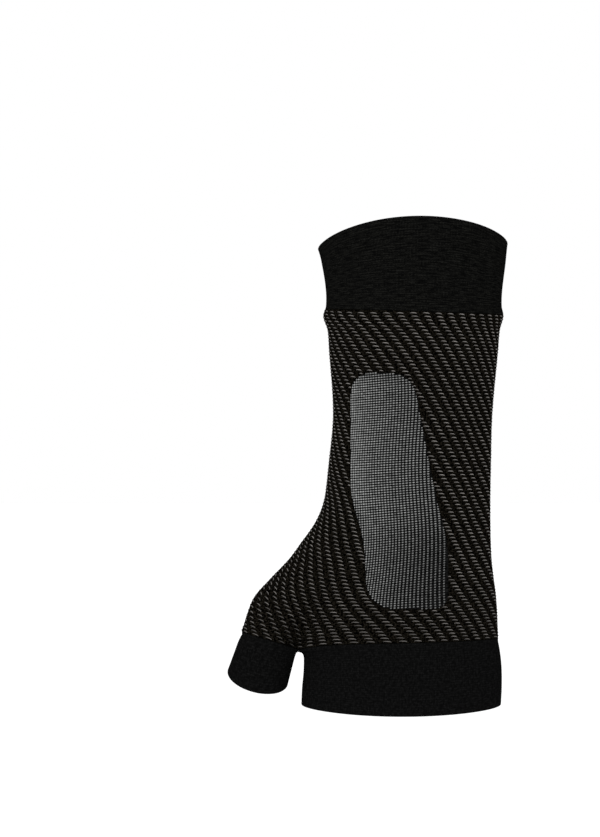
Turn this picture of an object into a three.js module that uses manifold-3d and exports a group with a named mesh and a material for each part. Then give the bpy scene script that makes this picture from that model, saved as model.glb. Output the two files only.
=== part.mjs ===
// A knitted wrist support sleeve in its worn form: a forearm cuff, a patterned body with a support panel
// set into the back of the wrist, and below the fork of thumb and palm a hand cuff and a thumb cuff.
// Millimetres. +Z points up the forearm, +X to the little finger's side and -Y out of the back of the hand.
// The origin is the middle of the wrist.
import * as THREE from "three";
import { mergeVertices } from "three/addons/utils/BufferGeometryUtils.js";
import Module from "manifold-3d";

// Knit thicknesses, the cuffs being double, and the gap that neighbouring pieces keep.
const BODY_WALL = 1.3;
const CUFF_WALL = 1.8;
const GAP = 0.3;

// Facets: points round each tube, the height of a row, and the rays that trace a section.
const TRUNK_POINTS = 56;
const HAND_POINTS = 56;
const THUMB_POINTS = 32;
const ROW_HEIGHT = 7;
const RAYS = 720;

// Outside of the sleeve round wrist and forearm, a row for each level section from the fork up: its edges on
// the thumb's side (left) and the little finger's (right), half its depth, and its middle's place towards +Y.
const LIMB = [
  { z: -77, left: -48.7, right: 37.9, depth: 18.2, back: 0 },
  { z: -60, left: -46.5, right: 37.1, depth: 20, back: 0 },
  { z: -43, left: -42, right: 35.1, depth: 22, back: 0 },
  { z: -20, left: -37.2, right: 34.5, depth: 24, back: 0 },
  { z: 0, left: -34.8, right: 34.8, depth: 25, back: 0 },
  { z: 19, left: -33.1, right: 35.3, depth: 26, back: 0 },
  { z: 47, left: -34.8, right: 37.8, depth: 29, back: 0 },
  { z: 56, left: -35.5, right: 38.6, depth: 30, back: 0 },
  { z: 62, left: -37.3, right: 40.1, depth: 31.2, back: 0 },
  { z: 66, left: -36.2, right: 39.4, depth: 30.8, back: 0 },
  { z: 86, left: -38.3, right: 41.2, depth: 33, back: 0 },
  { z: 92, left: -40, right: 41.8, depth: 33.8, back: 0 },
  { z: 104, left: -43, right: 43.5, depth: 35.5, back: 0 },
];

// The thumb's root, in the same columns, from below the fork up to where it is lost in the wrist.
const THUMB_ROOT = [
  { z: -88, left: -77.6, right: -50.5, depth: 13, back: 4.5 },
  { z: -77, left: -72.4, right: -48, depth: 13.2, back: 3 },
  { z: -68, left: -70, right: -39, depth: 14.2, back: 3.5 },
  { z: -60, left: -66.9, right: -31, depth: 15.2, back: 4 },
  { z: -51.6, left: -59.9, right: -22, depth: 16, back: 3.8 },
  { z: -43, left: -52, right: -14, depth: 16.5, back: 3.5 },
  { z: -34, left: -45.5, right: -7, depth: 17, back: 3 },
  { z: -26, left: -39.2, right: -3, depth: 17, back: 2 },
  { z: -13, left: -30, right: 0, depth: 15, back: 1 },
  { z: 0, left: -22, right: 5, depth: 12, back: 0 },
];

// The palm below the fork, in the same columns.
const PALM = [
  { z: -112, left: -46.9, right: 38.7, depth: 16.5, back: 0 },
  { z: -98, left: -46.5, right: 39.5, depth: 17.2, back: 0 },
  { z: -88, left: -45.8, right: 39.3, depth: 17.7, back: 0 },
  { z: -77, left: -45.7, right: 37.9, depth: 18.2, back: 0 },
];

// How widely the knit bridges the crease between the thumb's root and the palm.
const CREASE_SPAN = 6;

// Edges of the pieces: the height on the sleeve's axis, half the sleeve's depth there, the slopes to +X and
// +Y, and, for an open rim, how far the front and the back stand beyond the sides.
const CUFF_EDGE = { z: 63.6, depth: 31, slopeX: -0.033, slopeY: 0.035, front: 0, back: 0 };
const TOP_RIM = { z: 92.3, depth: 33.8, slopeX: 0.025, slopeY: 0, front: 9.6, back: 3 };
const BODY_END = { z: -76.9, depth: 18.2, slopeX: 0.015, slopeY: 0, front: 0, back: 0 };
const HAND_RIM = { z: -105.6, depth: 16.8, slopeX: 0, slopeY: 0, front: -2.9, back: -1.5 };
const RIM_ROUNDNESS = 1.6;

// The fork: where thumb and palm part, how far the body's end dips there, over how narrow a span and how near
// to that end, how far it rises on the thumb's outer side, how deep the two cuffs lie side by side, and over
// what height and in how many steps they then turn apart.
const FORK_X = -48.3;
const FORK_DIP = 3.4;
const FORK_NARROWNESS = 4;
const FORK_NEARNESS = 10;
const THUMB_RISE = 4;
const FORK_SEAM = 1.5;
const FORK_ARCH = 4.5;
const FORK_ARCH_STEPS = 3;

// The thumb cuff's tube below the fork and at its rim: its middle, half its width and depth, and the rim's
// slopes.
const THUMB_TUBE = { x: -60.5, y: 3.2, halfWidth: 12, halfDepth: 13 };
const THUMB_RIM = { x: -65.6, y: 8.5, z: -94.6, halfWidth: 13.1, halfDepth: 12.4, slopeX: -0.2, slopeY: 0.4 };

// Corners of the support panel seen from the front, clockwise from the top left, and how far from each corner
// its curve starts. The cut for the panel goes through the front wall only.
const PANEL_CORNERS = [
  { x: -25.7, z: 37.1, curve: 8 },
  { x: -0.3, z: 37.1, curve: 7 },
  { x: 8.9, z: -13.5, curve: 9 },
  { x: 14, z: -35.3, curve: 9 },
  { x: 15, z: -61.9, curve: 6 },
  { x: -19.2, z: -61.9, curve: 11 },
  { x: -20.4, z: -33.2, curve: 9 },
  { x: -25.9, z: -10.9, curve: 9 },
];
const PANEL_CURVE_STEPS = 5;
const PANEL_CUT = { front: -60, back: -5 };

const KNIT_ROUGHNESS = 0.9;
const COLOURS = { plainKnit: 0x101010, patternedKnit: 0x1e1d1a, panelKnit: 0x454644 };

const wasm = await Module();
wasm.setup();

// The level ellipse at any height on smooth curves through a table's rows.
function sections(table) {
  const heights = table.map((row) => row.z);
  const edges = table.flatMap((row) => [row.left, row.right, row.depth, row.back]);
  const curve = new THREE.CubicInterpolant(heights, edges, 4, new Float64Array(4));
  return (z) => {
    const [left, right, depth, back] = curve.evaluate(z);
    return { left, right, x: (left + right) / 2, y: back, halfWidth: (right - left) / 2, halfDepth: depth };
  };
}
const limbAt = sections(LIMB);
const rootAt = sections(THUMB_ROOT);
const palmAt = sections(PALM);

// How far a ray that starts at (x, y), inside an ellipse, runs before it leaves it.
function rayLength(ellipse, x, y, angle) {
  const px = (x - ellipse.x) / ellipse.halfWidth;
  const py = (y - ellipse.y) / ellipse.halfDepth;
  const dx = Math.cos(angle) / ellipse.halfWidth;
  const dy = Math.sin(angle) / ellipse.halfDepth;
  const square = dx * dx + dy * dy;
  const along = px * dx + py * dy;
  const room = 1 - px * px - py * py;
  return room > 0 ? (Math.sqrt(along * along + square * room) - along) / square : 0;
}

// The larger of two lengths, rounded off where they come within a span of each other.
function softMaximum(a, b, span) {
  const near = Math.max(span - Math.abs(a - b), 0) / span;
  return Math.max(a, b) + (near * near * span) / 4;
}

// A point of the trunk's outside on a ray from the middle of the overlap of limb and thumb root. Below the
// body's end, where the two part, the section goes on unchanged.
function trunkPoint(angle, z) {
  const level = Math.max(z, BODY_END.z);
  const limb = limbAt(level);
  const root = rootAt(level);
  const x = (limb.left + root.right) / 2;
  const y = (limb.y + root.y) / 2;
  const reach = softMaximum(rayLength(limb, x, y, angle), rayLength(root, x, y, angle), CREASE_SPAN);
  return new THREE.Vector3(x + reach * Math.cos(angle), y + reach * Math.sin(angle), z);
}

// Angles once round from a start, by way of the front first when the start is the little finger's side.
function rays(start = 0) {
  return Array.from({ length: RAYS }, (_, k) => start - (2 * Math.PI * k) / RAYS);
}

// The height of an edge over a point of the sleeve.
function edgeHeight(edge, point) {
  const side = THREE.MathUtils.clamp(point.y / edge.depth, -1, 1);
  const stand = (side < 0 ? edge.front : edge.back) * Math.abs(side) ** RIM_ROUNDNESS;
  return edge.z + edge.slopeX * point.x + edge.slopeY * point.y + stand;
}

// How far the body's end lies below its edge along a ray: the knit dips into the fork, and rises on the
// thumb's outer side.
function forkDip(angle) {
  const rise = THUMB_RISE * Math.max(-Math.cos(angle), 0) ** 2;
  return FORK_DIP * Math.abs(Math.sin(angle)) ** FORK_NARROWNESS - rise;
}

// A count of points at even distances along a closed line.
function evenly(line, count) {
  const closed = [...line, line[0]];
  const lengths = [0];
  closed.slice(1).forEach((point, i) => lengths.push(lengths[i] + point.distanceTo(closed[i])));
  const step = lengths[line.length] / count;
  let i = 0;
  return Array.from({ length: count }, (_, k) => {
    while (lengths[i + 1] < k * step) i++;
    return closed[i].clone().lerp(closed[i + 1], (k * step - lengths[i]) / (lengths[i + 1] - lengths[i]));
  });
}

// Shares of a height from its top (0) to its foot (1), in rows of about the row height.
function rows(height) {
  const count = Math.round(height / ROW_HEIGHT);
  return Array.from({ length: count + 1 }, (_, k) => k / count);
}

// A closed wall: rings of outside points from the top down, thickened inwards along the normals, with level
// rims.
function wall(rings, thickness) {
  const size = rings[0].length;
  const last = rings.length - 1;
  const at = (i, j) => rings[THREE.MathUtils.clamp(i, 0, last)][(j + size) % size];
  const outside = rings.flat();
  const inside = outside.map((point, n) => {
    const [i, j] = [Math.floor(n / size), n % size];
    const round = at(i, j + 1).clone().sub(at(i, j - 1));
    const down = at(i + 1, j).clone().sub(at(i - 1, j));
    const normal = round.cross(down);
    if (i === 0 || i === last) normal.setZ(0);
    return point.clone().addScaledVector(normal.normalize(), -thickness);
  });
  const index = [];
  const quad = (a, b, c, d) => index.push(a, b, c, a, c, d);
  const inner = outside.length;
  const foot = last * size;
  for (let j = 0; j < size; j++) {
    const k = (j + 1) % size;
    for (let row = 0; row < foot; row += size) {
      quad(row + j, row + k, row + size + k, row + size + j);
      quad(inner + row + k, inner + row + j, inner + row + size + j, inner + row + size + k);
    }
    quad(inner + j, inner + k, k, j);
    quad(foot + j, foot + k, inner + foot + k, inner + foot + j);
  }
  return new THREE.BufferGeometry().setFromPoints([...outside, ...inside]).setIndex(index);
}

// A stretch of the trunk between two edges, as a closed wall. dip lowers a point near the stretch's foot.
function trunkStretch(top, foot, thickness, dip) {
  const rings = rows(top.z - foot.z).map((share) => {
    const line = rays().map((angle) => {
      const high = edgeHeight(top, trunkPoint(angle, top.z));
      const low = edgeHeight(foot, trunkPoint(angle, foot.z));
      const point = trunkPoint(angle, THREE.MathUtils.lerp(high, low, share));
      point.z -= dip(angle, share);
      return point;
    });
    return evenly(line, TRUNK_POINTS);
  });
  return wall(rings, thickness);
}

// An edge moved up or down by half the gap between two pieces.
function shifted(edge, side) {
  return { ...edge, z: edge.z + (side * GAP) / 2 };
}

function forearmCuff() {
  return trunkStretch(TOP_RIM, shifted(CUFF_EDGE, 1), CUFF_WALL, () => 0);
}

function bodyWall() {
  const dip = (angle, share) => forkDip(angle) * share ** FORK_NEARNESS;
  return trunkStretch(shifted(CUFF_EDGE, -1), shifted(BODY_END, 1), BODY_WALL, dip);
}

// The top of a cuff below the fork: the body's end on the palm's side (+1) or the thumb's (-1), which the
// line across the fork closes.
function forkLoop(side, count) {
  const end = shifted(BODY_END, -1);
  const line = rays(side > 0 ? 0 : Math.PI).map((angle) => {
    const point = trunkPoint(angle, end.z);
    point.z = edgeHeight(end, point) - forkDip(angle);
    return point;
  });
  const part = FORK_X + (side * GAP) / 2;
  return evenly(line.filter((point) => side * (point.x - part) > 0), count);
}

// Points at even distances round an ellipse, from the palm's or the thumb's outer side.
function ellipseLine(ellipse, side, count) {
  const line = rays(side > 0 ? 0 : Math.PI).map((angle) => {
    const x = ellipse.x + ellipse.halfWidth * Math.cos(angle);
    return new THREE.Vector3(x, ellipse.y + ellipse.halfDepth * Math.sin(angle), 0);
  });
  return evenly(line, count);
}

// Depths of a fork cuff's rows: the seam where the cuffs lie side by side, their arch, then even rows.
function forkRows(height) {
  const plain = FORK_SEAM + FORK_ARCH;
  const arch = Array.from({ length: FORK_ARCH_STEPS }, (_, k) => {
    return plain - FORK_ARCH * Math.cos((k / FORK_ARCH_STEPS) * (Math.PI / 2));
  });
  const even = rows(height - plain).map((share) => plain + share * (height - plain));
  return [0, ...arch, ...even];
}

// A cuff from the fork's loop down to its rim. tubeAt gives the ellipse at a share of the height, rimHeight
// the rim's height over a point. Each row turns from the loop to the ellipse on a quarter circle.
function forkCuff(side, count, height, tubeAt, rimHeight) {
  const loop = forkLoop(side, count);
  const rim = ellipseLine(tubeAt(1), side, count).map(rimHeight);
  const rings = forkRows(height).map((depth) => {
    const left = 1 - THREE.MathUtils.clamp((depth - FORK_SEAM) / FORK_ARCH, 0, 1);
    const tube = ellipseLine(tubeAt(depth / height), side, count);
    return loop.map((point, k) => {
      const turned = point.clone().lerp(tube[k], Math.sqrt(1 - left * left));
      turned.z = THREE.MathUtils.lerp(point.z, rim[k], depth / height);
      return turned;
    });
  });
  return wall(rings, CUFF_WALL);
}

function handCuff() {
  const height = BODY_END.z - HAND_RIM.z;
  const tubeAt = (share) => palmAt(BODY_END.z - share * height);
  return forkCuff(1, HAND_POINTS, height, tubeAt, (point) => edgeHeight(HAND_RIM, point));
}

function thumbCuff() {
  const height = BODY_END.z - THUMB_RIM.z;
  const tubeAt = (share) => {
    const mixed = Object.keys(THUMB_TUBE).map((name) => {
      return [name, THREE.MathUtils.lerp(THUMB_TUBE[name], THUMB_RIM[name], share)];
    });
    return Object.fromEntries(mixed);
  };
  const rimHeight = (point) => {
    const { x, y, z, slopeX, slopeY } = THUMB_RIM;
    return z + slopeX * (point.x - x) + slopeY * (point.y - y);
  };
  return forkCuff(-1, THUMB_POINTS, height, tubeAt, rimHeight);
}

// The panel's outline, grown all round by a distance, as a prism through the front wall.
function panelPrism(grow) {
  const corners = PANEL_CORNERS.map(({ x, z }) => new THREE.Vector2(x, z));
  const next = (k) => corners[(k + 1) % corners.length];
  const along = corners.map((corner, k) => next(k).clone().sub(corner).normalize());
  const grown = corners.map((corner, k) => {
    const before = along.at(k - 1);
    const turn = 1 + before.dot(along[k]);
    const out = new THREE.Vector2(-before.y - along[k].y, before.x + along[k].x);
    return corner.clone().addScaledVector(out, grow / turn);
  });
  const outline = new THREE.Shape();
  grown.forEach((corner, k) => {
    const { curve } = PANEL_CORNERS[k];
    const from = corner.clone().addScaledVector(along.at(k - 1), -curve);
    const to = corner.clone().addScaledVector(along[k], curve);
    if (k === 0) outline.moveTo(from.x, from.y);
    else outline.lineTo(from.x, from.y);
    outline.quadraticCurveTo(corner.x, corner.y, to.x, to.y);
  });
  outline.closePath();
  const depth = PANEL_CUT.back - PANEL_CUT.front;
  const settings = { depth, bevelEnabled: false, curveSegments: PANEL_CURVE_STEPS };
  const prism = new THREE.ExtrudeGeometry(outline, settings);
  return prism.rotateX(Math.PI / 2).translate(0, PANEL_CUT.back, 0);
}

// A closed geometry as a solid that can be cut.
function solid(geometry) {
  geometry.deleteAttribute("normal");
  geometry.deleteAttribute("uv");
  const merged = mergeVertices(geometry);
  const vertProperties = Float32Array.from(merged.attributes.position.array);
  const triVerts = Uint32Array.from(merged.index.array);
  return new wasm.Manifold(new wasm.Mesh({ numProp: 3, vertProperties, triVerts }));
}

// A cut solid as a geometry.
function cutGeometry(cut) {
  const mesh = cut.getMesh();
  const geometry = new THREE.BufferGeometry();
  geometry.setAttribute("position", new THREE.BufferAttribute(mesh.vertProperties, 3));
  return geometry.setIndex(new THREE.BufferAttribute(mesh.triVerts, 1));
}

// A named piece of knit in its own colour.
function piece(name, geometry, color) {
  geometry.computeVertexNormals();
  const material = new THREE.MeshStandardMaterial({ color, roughness: KNIT_ROUGHNESS, metalness: 0 });
  const mesh = new THREE.Mesh(geometry, material);
  mesh.name = name;
  return mesh;
}

const wholeBody = solid(bodyWall());
const bodyRoundPanel = cutGeometry(wholeBody.subtract(solid(panelPrism(GAP / 2))));
const panel = cutGeometry(wholeBody.intersect(solid(panelPrism(-GAP / 2))));

const sleeve = new THREE.Group();
sleeve.add(piece("forearm_cuff", forearmCuff(), COLOURS.plainKnit));
sleeve.add(piece("sleeve_body", bodyRoundPanel, COLOURS.patternedKnit));
sleeve.add(piece("support_panel", panel, COLOURS.panelKnit));
sleeve.add(piece("hand_cuff", handCuff(), COLOURS.plainKnit));
sleeve.add(piece("thumb_cuff", thumbCuff(), COLOURS.plainKnit));
export default sleeve;
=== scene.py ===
"""The looks of a knitted wrist support sleeve in its worn form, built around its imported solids."""

import bpy
import numpy as np
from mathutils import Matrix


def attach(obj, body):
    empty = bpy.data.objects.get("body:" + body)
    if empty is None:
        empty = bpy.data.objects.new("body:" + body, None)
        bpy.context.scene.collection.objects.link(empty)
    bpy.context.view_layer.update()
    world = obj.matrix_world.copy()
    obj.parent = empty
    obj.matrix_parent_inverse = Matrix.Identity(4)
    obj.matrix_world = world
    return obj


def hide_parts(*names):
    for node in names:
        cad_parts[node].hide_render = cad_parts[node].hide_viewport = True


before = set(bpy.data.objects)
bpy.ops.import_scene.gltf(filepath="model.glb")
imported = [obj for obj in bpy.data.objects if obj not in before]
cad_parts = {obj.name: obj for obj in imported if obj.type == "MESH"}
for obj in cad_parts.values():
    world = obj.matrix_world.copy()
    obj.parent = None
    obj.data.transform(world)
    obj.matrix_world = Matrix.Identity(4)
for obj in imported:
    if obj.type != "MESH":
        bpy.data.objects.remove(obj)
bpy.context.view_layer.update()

# Forearm cuff
# The plain black band round the forearm, knitted double from nylon and elastane yarn.
# Its top is a folded edge that arches up at the front, and its foot is knitted on into the body.
MM = 0.001
CUFF_WALL = 1.8 * MM

# The sleeve's outside round wrist and forearm, a row for each level section from the fork up: height, edge
# on the thumb's side, edge on the little finger's side, half depth, and the middle's place towards +Y.
LIMB = MM * np.array([
    (-77, -48.7, 37.9, 18.2, 0),
    (-60, -46.5, 37.1, 20, 0),
    (-43, -42, 35.1, 22, 0),
    (-20, -37.2, 34.5, 24, 0),
    (0, -34.8, 34.8, 25, 0),
    (19, -33.1, 35.3, 26, 0),
    (47, -34.8, 37.8, 29, 0),
    (56, -35.5, 38.6, 30, 0),
    (62, -37.3, 40.1, 31.2, 0),
    (66, -36.2, 39.4, 30.8, 0),
    (86, -38.3, 41.2, 33, 0),
    (92, -40, 41.8, 33.8, 0),
    (104, -43, 43.5, 35.5, 0),
])

# The thumb's root, in the same columns.
THUMB_ROOT = MM * np.array([
    (-88, -77.6, -50.5, 13, 4.5),
    (-77, -72.4, -48, 13.2, 3),
    (-68, -70, -39, 14.2, 3.5),
    (-60, -66.9, -31, 15.2, 4),
    (-51.6, -59.9, -22, 16, 3.8),
    (-43, -52, -14, 16.5, 3.5),
    (-34, -45.5, -7, 17, 3),
    (-26, -39.2, -3, 17, 2),
    (-13, -30, 0, 15, 1),
    (0, -22, 5, 12, 0),
])

# The crease between limb and thumb root is rounded where their ways out differ by less than this.
CREASE_SPAN = 6 * MM

# Edges: height on the sleeve's axis, half the sleeve's depth there, slopes to +X and +Y, and how far front
# and back stand beyond the sides, with the power by which that grows.
TOP_RIM = {"z": 92.3 * MM, "depth": 33.8 * MM, "slope": (0.025, 0), "front": 9.6 * MM, "back": 3 * MM}
CUFF_EDGE = {"z": 63.6 * MM, "depth": 31 * MM, "slope": (-0.033, 0.035), "front": 0, "back": 0}
BODY_END = {"z": -76.9 * MM, "depth": 18.2 * MM, "slope": (0.015, 0), "front": 0, "back": 0}
RIM_ROUNDNESS = 1.6

# Angles of the rays that trace a section, from the little finger's side by way of the front.
RAY_COUNT = 1440
RAYS = -2 * np.pi * np.arange(RAY_COUNT) / RAY_COUNT

# The plain knit: wales round the stretched cuff, height of a course, depth of the grooves between stitches,
# and mesh points to a stitch each way. Real stitches are finer, and these are drawn coarser to show.
CUFF_WALES = 190
COURSE = 0.95 * MM
GROOVE = 0.1 * MM
STITCH_POINTS = 3

# How far a folded rim and a joint with the next piece are rounded out, and in how many steps.
JOINT_SWELL = 0.2 * MM
RIM_STEPS = 6


def sections(table, z):
    """Columns of a table of sections at heights z. Each span between two rows is a cubic whose slope at a
    row is the mean of the slopes of the chords on either side."""
    height, value = table[:, 0], table[:, 1:]
    chord = np.diff(value, axis=0) / np.diff(height)[:, None]
    slope = np.concatenate([chord[:1], (chord[1:] + chord[:-1]) / 2, chord[-1:]])
    z = np.clip(z, height[0], height[-1])
    i = np.clip(np.searchsorted(height, z) - 1, 0, len(chord) - 1)
    span = (height[i + 1] - height[i])[..., None]
    t = (z - height[i])[..., None] / span
    start = value[i] * (1 + 2 * t) * (1 - t) ** 2 + slope[i] * span * t * (1 - t) ** 2
    end = value[i + 1] * t**2 * (3 - 2 * t) - slope[i + 1] * span * t**2 * (1 - t)
    return np.moveaxis(start + end, -1, 0)


def reach(section, x, y, angle):
    """How far rays from (x, y) run before they leave an ellipse: the positive root of the quadratic that
    puts a point of the ray on it, or 0 where the start lies outside."""
    left, right, depth, back = section
    half = (right - left) / 2
    px, py = (x - (left + right) / 2) / half, (y - back) / depth
    dx, dy = np.cos(angle) / half, np.sin(angle) / depth
    square, along = dx**2 + dy**2, px * dx + py * dy
    room = np.maximum(1 - px**2 - py**2, 0)
    return np.where(room > 0, (np.sqrt(along**2 + square * room) - along) / square, 0)


def trunk(angle, z):
    """Points of the sleeve's outside on rays from the middle of the overlap of limb and thumb root: the
    longer of the ways out of the two ellipses, rounded off over the crease where they are alike."""
    level = np.maximum(z, BODY_END["z"])
    limb, root = sections(LIMB, level), sections(THUMB_ROOT, level)
    x, y = (limb[0] + root[1]) / 2, (limb[3] + root[3]) / 2
    a, b = reach(limb, x, y, angle), reach(root, x, y, angle)
    near = np.maximum(CREASE_SPAN - np.abs(a - b), 0) / CREASE_SPAN
    out = np.maximum(a, b) + near**2 * CREASE_SPAN / 4
    return np.stack([x + out * np.cos(angle), y + out * np.sin(angle), z + 0 * out], axis=-1)


def edge_height(edge, points):
    """Height of an edge over points: its level, its slopes, and the stand of front or back, which grows as a
    power of the way from the sides."""
    side = np.clip(points[..., 1] / edge["depth"], -1, 1)
    stand = np.where(side < 0, edge["front"], edge["back"]) * np.abs(side) ** RIM_ROUNDNESS
    return edge["z"] + points[..., :2] @ edge["slope"] + stand


def raised(edge, up):
    """An edge moved up."""
    return {**edge, "z": edge["z"] + up}


def trunk_lines(top, foot, down):
    """Closed lines round the trunk, each a share of the way down from one edge to another."""
    high, low = (edge_height(edge, trunk(RAYS, np.full(RAYS.shape, edge["z"]))) for edge in (top, foot))
    return trunk(RAYS, high + down[:, None] * (low - high))


def spaced(lines, count):
    """A count of points at even distances along each closed line. Way lengths are summed along a line, and
    all lines are read in one interpolation, each two units after the last."""
    closed = np.concatenate([lines, lines[:, :1]], axis=1)
    way = np.cumsum(np.linalg.norm(np.diff(closed, axis=1), axis=2), axis=1)
    way = np.pad(way, ((0, 0), (1, 0))) / way[:, -1:]
    row = 2 * np.arange(len(lines))[:, None]
    places = (row + np.arange(count) / count).ravel()
    found = [np.interp(places, (row + way).ravel(), axis) for axis in closed.reshape(-1, 3).T]
    return np.stack(found, axis=1).reshape(len(lines), count, 3)


def unit(vectors):
    """Vectors at length 1."""
    return vectors / np.linalg.norm(vectors, axis=-1, keepdims=True)


def outward(rings):
    """Normals of a grid of rings: across the neighbours round each ring and those in the rings beside it."""
    round_ = np.roll(rings, -1, axis=1) - np.roll(rings, 1, axis=1)
    return unit(np.cross(round_, np.gradient(rings, axis=0)))


def plain_wall(outside, top_swell, foot_swell):
    """A double-knit wall as one grid closed both ways: rings down the outside, half an ellipse round the
    foot, rings up the inside, and half an ellipse round the top. The outside has grooves between stitches:
    a depth times one less the product of the sine across a wale and the mean of 1 and the sine across a
    course."""
    rows, columns = outside.shape[:2]
    normal, down = outward(outside), unit(np.gradient(outside, axis=0))
    wale = np.abs(np.sin(np.pi * np.arange(columns) / STITCH_POINTS))
    course = np.abs(np.sin(np.pi * np.arange(rows) / STITCH_POINTS))[:, None]
    fade = np.clip(np.minimum(np.arange(rows), np.arange(rows)[::-1]) / STITCH_POINTS, 0, 1)[:, None]
    groove = GROOVE * fade * (1 - wale * (1 + course) / 2)
    turn = np.linspace(0, np.pi, RIM_STEPS + 2)[1:-1, None, None]
    middle = outside - normal * CUFF_WALL / 2
    foot = middle[-1] + np.cos(turn) * normal[-1] * CUFF_WALL / 2 + np.sin(turn) * down[-1] * foot_swell
    top = middle[0] - np.cos(turn) * normal[0] * CUFF_WALL / 2 - np.sin(turn) * down[0] * top_swell
    inside = (outside - normal * CUFF_WALL)[:: -2 * STITCH_POINTS]
    return np.concatenate([outside - normal * groove[..., None], foot, inside, top])


def pairs(first, second):
    """Every pair of a value of one array and a value of another, as two flat arrays."""
    return (grid.ravel() for grid in np.meshgrid(first, second, indexing="ij"))


def ring_faces(rows, columns):
    """Corners of the quads of a grid that is closed both ways, and their places in columns and rows, which
    run on past the last ones where the grid closes."""
    i, j = pairs(np.arange(rows), np.arange(columns))
    i, j = np.stack([i, i, i + 1, i + 1], axis=1), np.stack([j, j + 1, j + 1, j], axis=1)
    return i % rows * columns + j % columns, np.stack([j, i], axis=2)


def mesh_object(name, points, faces, places=None):
    """A smooth mesh from points and arrays of faces with like numbers of corners, with each corner's place
    on the cloth as its UV map."""
    mesh = bpy.data.meshes.new(name)
    corners = np.concatenate([part.ravel() for part in faces])
    sizes = np.concatenate([np.full(len(part), part.shape[1]) for part in faces])
    mesh.vertices.add(len(points))
    mesh.vertices.foreach_set("co", np.ascontiguousarray(points, dtype=np.float32).ravel())
    mesh.loops.add(len(corners))
    mesh.loops.foreach_set("vertex_index", corners.astype(np.int32))
    mesh.polygons.add(len(sizes))
    mesh.polygons.foreach_set("loop_start", (np.cumsum(sizes) - sizes).astype(np.int32))
    if places is not None:
        flat = np.concatenate([part.reshape(-1, 2) for part in places])
        mesh.uv_layers.new(name="knit").data.foreach_set("uv", flat.astype(np.float32).ravel())
    mesh.update(calc_edges=True)
    mesh.validate()
    mesh.shade_smooth()
    made = bpy.data.objects.new(name, mesh)
    bpy.context.scene.collection.objects.link(made)
    return made


def plain_cuff(name, outside, top_swell, foot_swell):
    """A cuff's object from the rings of its outside. Places on the cloth count wales and courses."""
    wall = plain_wall(outside, top_swell, foot_swell)
    faces, places = ring_faces(*wall.shape[:2])
    return mesh_object(name, wall.reshape(-1, 3), [faces], [places / STITCH_POINTS])


def add_node(tree, kind, inputs, **settings):
    """Adds a node with its settings. An input that is given a socket is linked to it, and others are set."""
    made = tree.nodes.new(kind)
    for name, value in settings.items():
        setattr(made, name, value)
    for name, value in inputs.items():
        if isinstance(value, bpy.types.NodeSocket):
            tree.links.new(value, made.inputs[name])
        else:
            made.inputs[name].default_value = value
    return made


def linear(colour):
    """A linear colour with alpha from an sRGB hex value."""
    srgb = np.array([colour >> 16 & 255, colour >> 8 & 255, colour & 255]) / 255
    low, high = srgb / 12.92, ((srgb + 0.055) / 1.055) ** 2.4
    return (*np.where(srgb <= 0.04045, low, high), 1)


def new_material(name):
    """A new material, its node tree, and the one shader there, which its surface shows."""
    material = bpy.data.materials.new(name)
    material.use_nodes = True
    tree = material.node_tree
    tree.nodes.clear()
    shader = add_node(tree, "ShaderNodeBsdfPrincipled", {})
    add_node(tree, "ShaderNodeOutputMaterial", {"Surface": shader.outputs["BSDF"]})
    return material, tree, shader


# A stitch's legs slant by this many courses over a wale, and waves along them make this share of their
# height.
LEG_SLANT = -1.1
LEG_WAVE = 0.35


def vee_height(tree):
    """Height of stocking stitch from 0 to 1 on places counted in wales and courses: two legs to a wale, each
    a hump across, crossed by waves that slant down to the wale's middle."""
    cloth = add_node(tree, "ShaderNodeUVMap", {}, uv_map="knit").outputs["UV"]
    place = add_node(tree, "ShaderNodeSeparateXYZ", {"Vector": cloth}).outputs
    share = add_node(tree, "ShaderNodeMath", {0: place["X"]}, operation="FRACT").outputs[0]
    middle = add_node(tree, "ShaderNodeMath", {0: share, 1: 0.5}, operation="SUBTRACT").outputs[0]
    leg = add_node(tree, "ShaderNodeMath", {0: middle}, operation="ABSOLUTE").outputs[0]
    slant = {0: leg, 1: LEG_SLANT, 2: place["Y"]}
    phase = add_node(tree, "ShaderNodeMath", slant, operation="MULTIPLY_ADD").outputs[0]
    ways = [{0: share_of_turn, 1: 2 * np.pi} for share_of_turn in (phase, leg)]
    turns = [add_node(tree, "ShaderNodeMath", way, operation="MULTIPLY") for way in ways]
    waves = [add_node(tree, "ShaderNodeMath", {0: turn.outputs[0]}, operation="SINE") for turn in turns]
    lift = {0: waves[0].outputs[0], 1: LEG_WAVE, 2: 1 - LEG_WAVE}
    lifted = add_node(tree, "ShaderNodeMath", lift, operation="MULTIPLY_ADD")
    both = {0: lifted.outputs[0], 1: waves[1].outputs[0]}
    return add_node(tree, "ShaderNodeMath", both, operation="MULTIPLY").outputs[0]


def streaks(tree, stretch):
    """Uneven tension of the yarn, from 0 to 1: noise on places counted in stitches, drawn out along a run of
    stitches by its scales across wales and courses."""
    cloth = add_node(tree, "ShaderNodeUVMap", {}, uv_map="knit").outputs["UV"]
    drawn = add_node(tree, "ShaderNodeMapping", {"Vector": cloth, "Scale": (*stretch, 1)}).outputs["Vector"]
    noise = {"Vector": drawn, "Scale": 1.0, "Detail": 1.0}
    return add_node(tree, "ShaderNodeTexNoise", noise, noise_dimensions="2D").outputs["Fac"]


# Streaks of uneven yarn lie this many to a stitch across their run. Their product, between these two values,
# is spread to a strength from 0 to this one.
STREAKS = 1.5
STREAK_SPAN = (0.15, 0.4)
STREAK_STRENGTH = 1.6


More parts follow.
